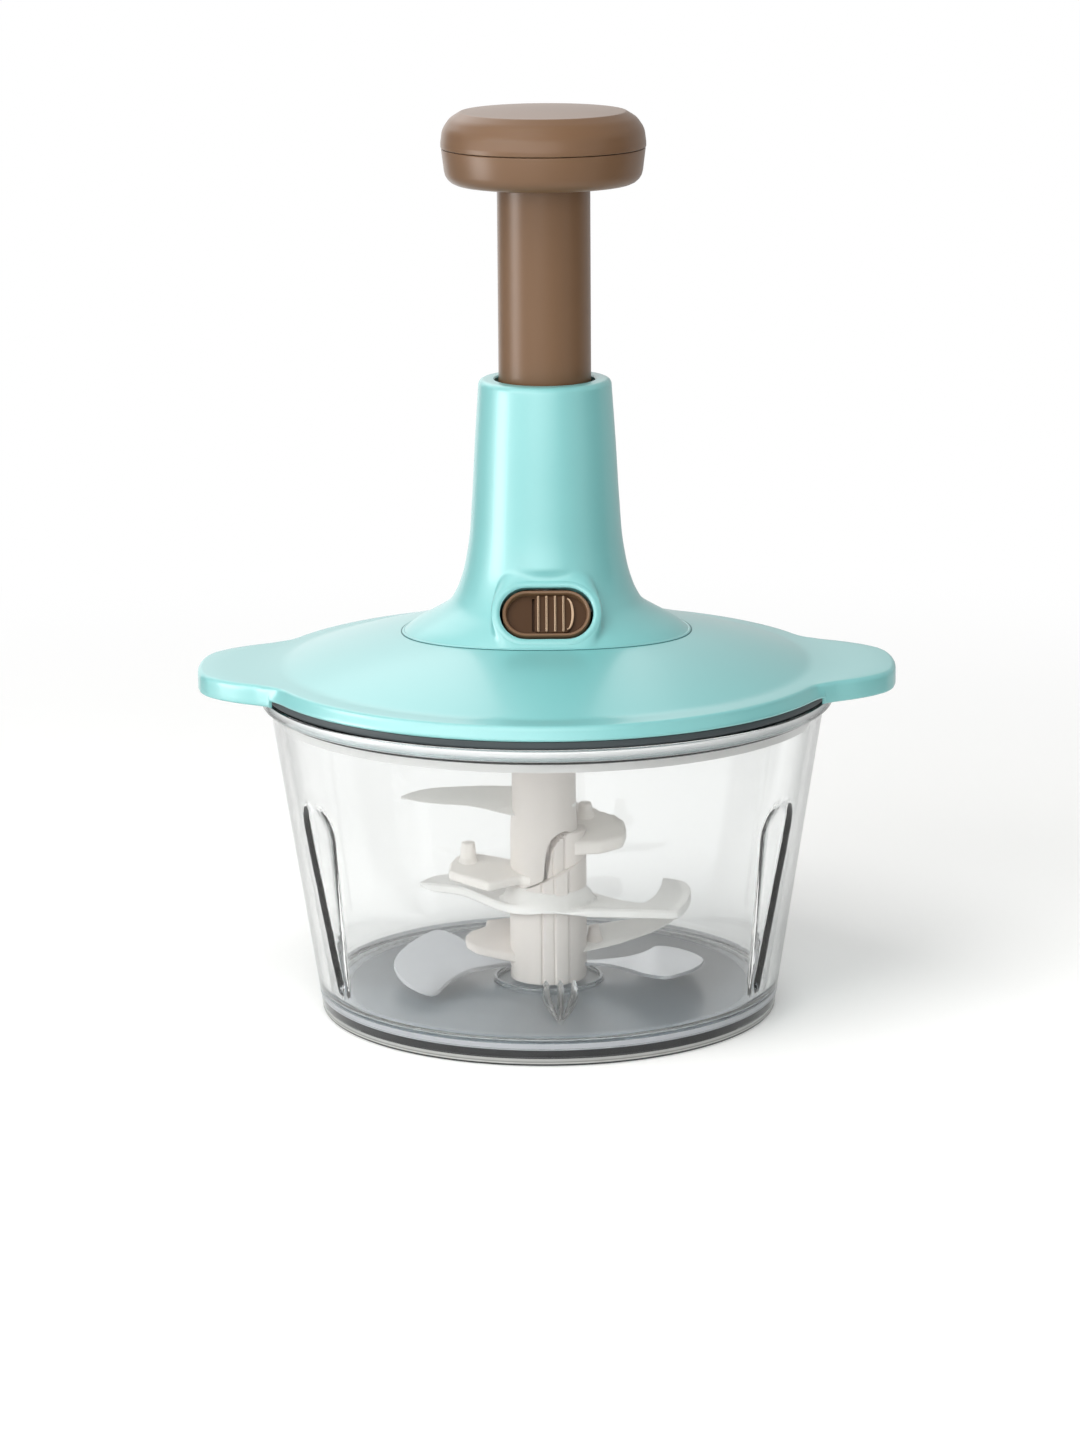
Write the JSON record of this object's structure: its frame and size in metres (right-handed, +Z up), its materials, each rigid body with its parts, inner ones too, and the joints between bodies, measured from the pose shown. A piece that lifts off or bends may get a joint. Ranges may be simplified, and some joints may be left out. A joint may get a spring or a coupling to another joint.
{
  "type": "press-top food chopper",
  "caption": "Hand food chopper: a clear bowl with a spinning blade tower under a lid with finger ears and a push plunger that turns the blades.",
  "frame": {"origin": "on the table, under the middle of the bowl and on the axis of the plunger", "axes": "+Z up along the plunger, X through the two finger ears, the lock button faces -Y"},
  "size_m": [0.216, 0.179, 0.28],
  "materials": {
    "clear_plastic": "clear, polished",
    "pad_rubber": "matt",
    "seal_rubber": "matt",
    "turquoise_plastic": "satin moulded",
    "brown_plastic": "satin moulded",
    "dark_plastic": "matt",
    "ivory_plastic": "satin moulded",
    "inner_plastic": "satin moulded",
    "blade_steel": "bright ground",
    "bright_steel": "bright drawn"
  },
  "bodies": {
    "bowl": {"bowl": "clear_plastic", "base_pad": "pad_rubber", "pivot_pin": "bright_steel"},
    "blades": {"lower_hub": "ivory_plastic", "upper_hub": "ivory_plastic", "lower_pivot_bush": "inner_plastic", "upper_pivot_bush": "inner_plastic", "floor_blade": "blade_steel", "lower_blade": "blade_steel", "middle_blade": "blade_steel", "top_blade": "blade_steel"},
    "lid": {"lid_shell": "turquoise_plastic", "tower_shell": "turquoise_plastic", "lock_frame": "brown_plastic", "guide_sleeve": "dark_plastic", "lid_seal": "seal_rubber", "inner_plate": "turquoise_plastic", "drive_column": "inner_plastic", "lower_spindle_bush": "dark_plastic", "upper_spindle_bush": "dark_plastic", "nut_retainer": "dark_plastic", "return_spring": "bright_steel", "lid_screws": "bright_steel"},
    "lock": {"lock_button": "brown_plastic", "lock_plate": "inner_plastic"},
    "plunger": {"plunger_tube": "brown_plastic", "knob_base": "brown_plastic", "knob_cap": "brown_plastic", "screw_keeper": "inner_plastic", "knob_screws": "bright_steel", "drive_screw": "bright_steel"},
    "nut": {"drive_nut": "inner_plastic"},
    "spindle": {"drive_spindle": "inner_plastic"}
  },
  "joints": [
    {"name": "lid_lift", "type": "slide", "parent": "bowl", "child": "lid", "axis": [0, 0, 1], "range_m": [0, 0.12]},
    {"name": "press", "type": "slide", "parent": "lid", "child": "plunger", "axis": [0, 0, -1], "range_m": [0, 0.056], "stiffness_N_per_m": 150, "springref_m": -0.05, "deforming": ["return_spring"]},
    {"name": "nut_spin", "type": "hinge", "parent": "lid", "child": "nut", "pos_m": [0, 0, 0.1425], "axis": [0, 0, 1], "range_deg": [-720, 0]},
    {"name": "spindle_spin", "type": "hinge", "parent": "lid", "child": "spindle", "pos_m": [0, 0, 0.115], "axis": [0, 0, 1], "range_deg": [-720, 0]},
    {"name": "blade_spin", "type": "hinge", "parent": "bowl", "child": "blades", "pos_m": [0, 0, 0.0117], "axis": [0, 0, 1], "range_deg": [-720, 0]},
    {"name": "lock_slide", "type": "slide", "parent": "lid", "child": "lock", "axis": [1, 0, 0], "range_m": [-0.007, 0]}
  ],
  "couplings": [
    {"joint": "nut_spin", "follows": "press", "rad_per_m": -224.4},
    {"joint": "spindle_spin", "follows": "press", "rad_per_m": -224.4},
    {"joint": "blade_spin", "follows": "press", "rad_per_m": -224.4}
  ]
}
